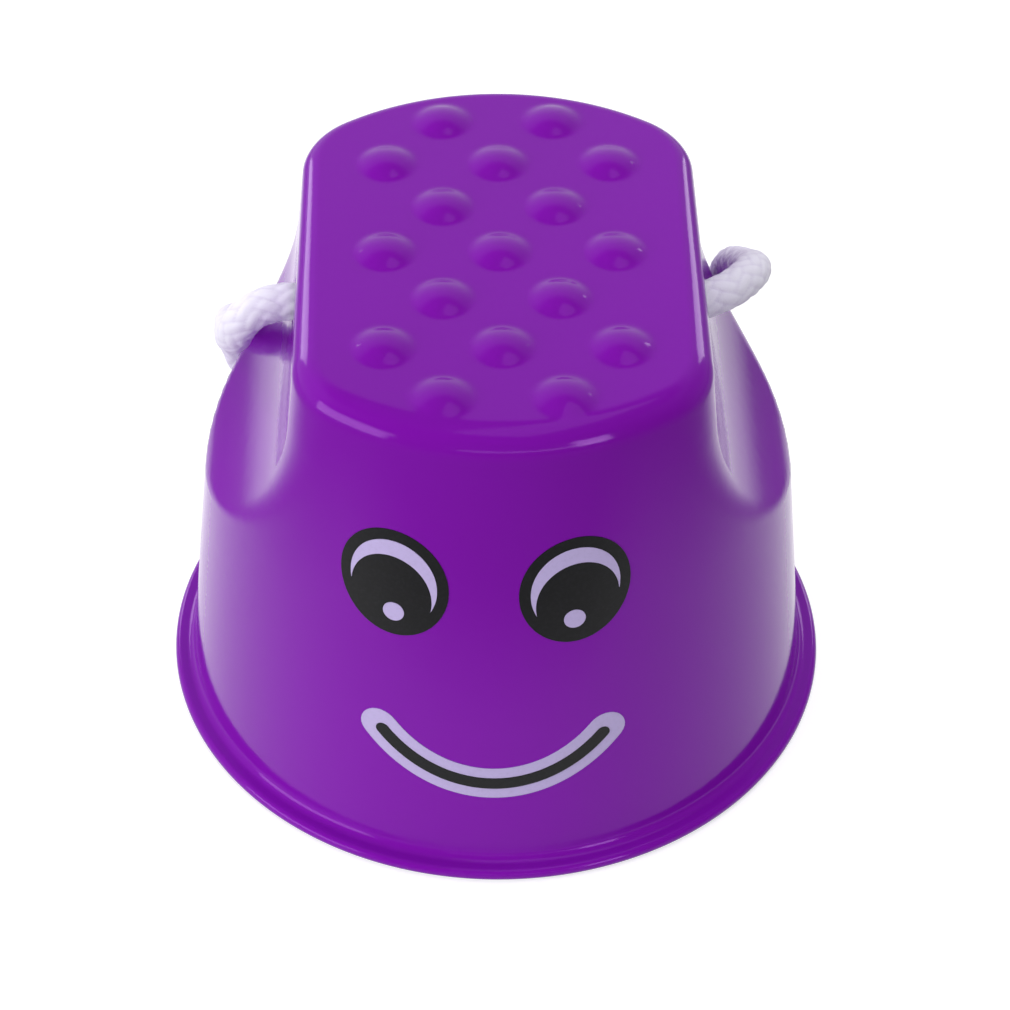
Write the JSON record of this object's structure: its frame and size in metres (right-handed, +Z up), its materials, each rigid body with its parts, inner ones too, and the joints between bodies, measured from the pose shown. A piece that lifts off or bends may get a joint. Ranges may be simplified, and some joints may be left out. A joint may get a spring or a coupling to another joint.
{
  "type": "bucket stilt",
  "caption": "Moulded plastic bucket stilt: a drafted cup with a bumped foot platform, side recesses, a printed smile and a hand rope held by stopper knots.",
  "frame": {"origin": "on the ground, in the middle of the cup's rim", "axes": "+Z up from the ground to the foot platform, -Y the way the printed face looks, X across the two rope holes"},
  "size_m": [0.125, 0.2142, 0.0963],
  "materials": {
    "cup_plastic": "glossy purple moulded plastic",
    "rope_cotton": "white braided cord",
    "tie_tape": "white woven tape",
    "ink_black": "glossy black print",
    "ink_lilac": "pale lilac print"
  },
  "bodies": {
    "root": {"cup_shell": "cup_plastic", "left_knot": "rope_cotton", "right_knot": "rope_cotton", "rope_left": "rope_cotton", "rope_right": "rope_cotton", "rope_coil": "rope_cotton", "coil_tie": "tie_tape", "left_eye_black": "ink_black", "left_eye_white": "ink_lilac", "right_eye_black": "ink_black", "right_eye_white": "ink_lilac", "smile_white": "ink_lilac", "smile_black": "ink_black"}
  },
  "joints": []
}
